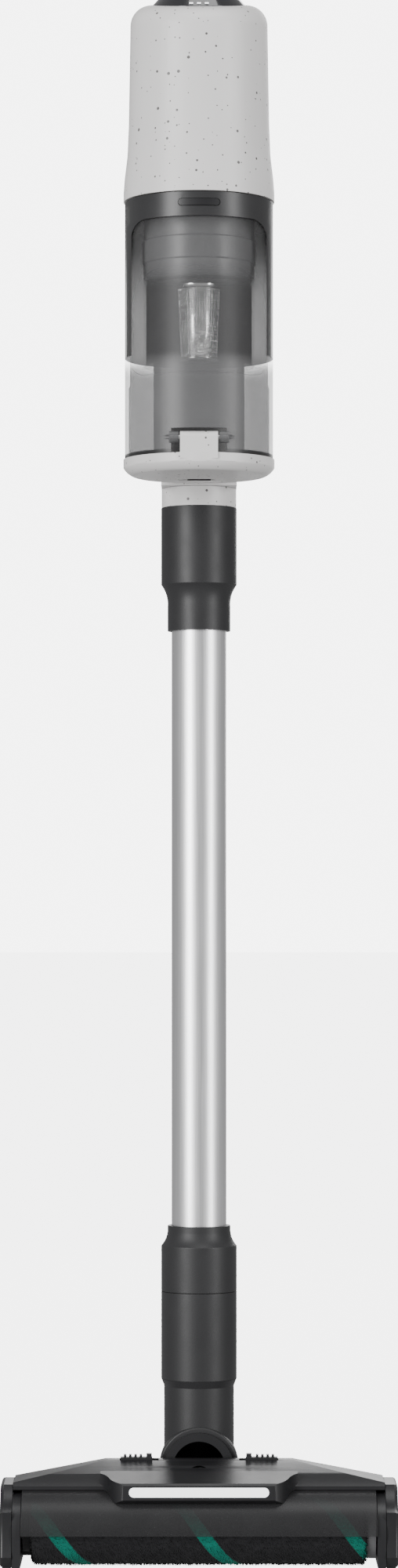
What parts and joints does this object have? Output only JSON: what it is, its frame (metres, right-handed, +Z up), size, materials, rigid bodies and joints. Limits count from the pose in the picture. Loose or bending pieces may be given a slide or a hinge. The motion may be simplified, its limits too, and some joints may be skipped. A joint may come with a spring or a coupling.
{
  "type": "cordless stick vacuum",
  "caption": "Upright cordless stick vacuum with a pale hand unit, smoked dust cup, metal wand and a wide floor head with a striped roller.",
  "frame": {"origin": "on the floor below the wand's axis, at the middle of the object's footprint", "axes": "+Z up along the wand, -Y is the front, towards the dust cup and the roller, +X to the right seen from the front"},
  "size_m": [0.2696, 0.26, 1.0667],
  "materials": {
    "dark_plastic": "satin black-grey moulded plastic",
    "pale_speckled": "pale grey plastic with dark speckles",
    "smoked_clear": "smoked transparent plastic",
    "collar_grey": "dark grey matte plastic",
    "wand_metal": "satin anodised aluminium",
    "bright_trim": "polished trim",
    "screen_metal": "perforated steel screen",
    "pile_dark": "short dark pile",
    "pile_green": "green pile stripe",
    "rubber_black": "soft black rubber",
    "lens_white": "milky light diffuser",
    "panel_gloss": "gloss black plastic",
    "steel": "plain steel",
    "filter_pleat": "pleated filter paper",
    "inner_grey": "inner structural plastic",
    "cell_wrap": "shrink wrapped cells",
    "motor_shell": "motor moulding"
  },
  "bodies": {
    "floor_head": {"sole_plate": "dark_plastic", "head_cover": "dark_plastic", "roller_window": "smoked_clear", "light_lens": "lens_white", "side_cap_right": "dark_plastic", "side_cap_left": "dark_plastic", "glide_feet": "rubber_black", "drive_motor": "motor_shell", "drive_belt": "rubber_black", "rear_lip": "rubber_black", "axle_pins": "steel", "head_screws": "steel"},
    "motor_pulley": {"motor_pulley": "steel"},
    "latch_right": {"cover_latch_right": "dark_plastic"},
    "latch_left": {"cover_latch_left": "dark_plastic"},
    "wheel_right": {"rear_wheel_right": "rubber_black"},
    "wheel_left": {"rear_wheel_left": "rubber_black"},
    "roller": {"roller_core": "inner_grey", "roller_pile": "pile_dark", "roller_stripe": "pile_green", "roller_ends": "inner_grey"},
    "carrier": {"swivel_carrier": "dark_plastic", "air_hose": "rubber_black"},
    "upper": {"neck_elbow": "collar_grey", "swivel_ring": "collar_grey", "neck_coupling": "collar_grey", "lower_collar": "collar_grey", "wand_tube": "wand_metal", "upper_collar": "collar_grey", "inlet_neck": "pale_speckled", "motor_housing": "pale_speckled", "motor_deck": "inner_grey", "motor_body": "motor_shell", "exhaust_filter": "filter_pleat", "control_panel": "panel_gloss", "status_lights": "lens_white", "panel_ring": "bright_trim", "rear_body": "pale_speckled", "rear_cover": "pale_speckled", "handle": "pale_speckled", "grip_pad": "rubber_black", "battery_dock": "dark_plastic", "charge_socket": "inner_grey"},
    "nozzle_button": {"nozzle_button": "dark_plastic"},
    "wand_button": {"wand_button": "dark_plastic"},
    "fan": {"impeller": "inner_grey"},
    "power_button": {"power_button": "panel_gloss"},
    "dust_bin": {"bin_frame": "smoked_clear", "dust_cup": "smoked_clear", "lid_pin": "steel", "cyclone_body": "smoked_clear", "mesh_screen": "screen_metal", "fine_filter": "filter_pleat"},
    "bin_button": {"bin_button": "dark_plastic"},
    "lid": {"bin_lid": "pale_speckled", "lid_seal": "rubber_black"},
    "lid_latch": {"lid_latch": "dark_plastic"},
    "battery": {"battery_case": "dark_plastic", "battery_cells": "cell_wrap"},
    "battery_button": {"battery_button": "inner_grey"}
  },
  "joints": [
    {"name": "roller_spin", "type": "hinge", "parent": "floor_head", "child": "roller", "pos_m": [0, -0.0605, 0.0238], "axis": [1, 0, 0], "continuous": true},
    {"name": "pulley_spin", "type": "hinge", "parent": "floor_head", "child": "motor_pulley", "pos_m": [0, -0.0135, 0.022], "axis": [1, 0, 0], "continuous": true},
    {"name": "wheel_right_spin", "type": "hinge", "parent": "floor_head", "child": "wheel_right", "pos_m": [0.062, 0.022, 0.013], "axis": [1, 0, 0], "continuous": true},
    {"name": "wheel_left_spin", "type": "hinge", "parent": "floor_head", "child": "wheel_left", "pos_m": [-0.062, 0.022, 0.013], "axis": [1, 0, 0], "continuous": true},
    {"name": "latch_right_slide", "type": "slide", "parent": "floor_head", "child": "latch_right", "axis": [-1, 0, 0], "range_m": [0, 0.004], "stiffness_N_per_m": 400, "springref_m": -0.003},
    {"name": "latch_left_slide", "type": "slide", "parent": "floor_head", "child": "latch_left", "axis": [1, 0, 0], "range_m": [0, 0.004], "stiffness_N_per_m": 400, "springref_m": -0.003},
    {"name": "neck_tilt", "type": "hinge", "parent": "floor_head", "child": "carrier", "pos_m": [0, 0, 0.04], "axis": [-1, 0, 0], "range_deg": [0, 80], "deforming": ["air_hose"]},
    {"name": "neck_swivel", "type": "hinge", "parent": "carrier", "child": "upper", "pos_m": [0, 0, 0.0625], "axis": [0, 1, 0], "range_deg": [-35, 35]},
    {"name": "nozzle_release", "type": "slide", "parent": "upper", "child": "nozzle_button", "axis": [0, -1, 0], "range_m": [0, 0.001], "stiffness_N_per_m": 400, "springref_m": -0.003},
    {"name": "wand_release", "type": "slide", "parent": "upper", "child": "wand_button", "axis": [0, -1, 0], "range_m": [0, 0.001], "stiffness_N_per_m": 400, "springref_m": -0.003},
    {"name": "fan_spin", "type": "hinge", "parent": "upper", "child": "fan", "pos_m": [0, -0.079, 0.945], "axis": [0, 0, 1], "continuous": true},
    {"name": "power_press", "type": "slide", "parent": "upper", "child": "power_button", "axis": [0, 0.2334, -0.9724], "range_m": [0, 0.0012], "stiffness_N_per_m": 400, "springref_m": -0.003},
    {"name": "bin_pull", "type": "slide", "parent": "upper", "child": "dust_bin", "axis": [0, -1, 0], "range_m": [0, 0.12]},
    {"name": "bin_release", "type": "slide", "parent": "dust_bin", "child": "bin_button", "axis": [0, 1, 0], "range_m": [0, 0.0008], "stiffness_N_per_m": 400, "springref_m": -0.003},
    {"name": "lid_open", "type": "hinge", "parent": "dust_bin", "child": "lid", "pos_m": [0, -0.1245, 0.7595], "axis": [-1, 0, 0], "range_deg": [0, 95]},
    {"name": "lid_release", "type": "slide", "parent": "lid", "child": "lid_latch", "axis": [0, -1, 0], "range_m": [0, 0.004], "stiffness_N_per_m": 400, "springref_m": -0.003},
    {"name": "battery_pull", "type": "slide", "parent": "upper", "child": "battery", "axis": [0, 0, -1], "range_m": [0, 0.1]},
    {"name": "battery_release", "type": "slide", "parent": "battery", "child": "battery_button", "axis": [0, -1, 0], "range_m": [0, 0.0012], "stiffness_N_per_m": 400, "springref_m": -0.003}
  ],
  "couplings": [
    {"joint": "pulley_spin", "follows": "roller_spin", "ratio": 2}
  ]
}
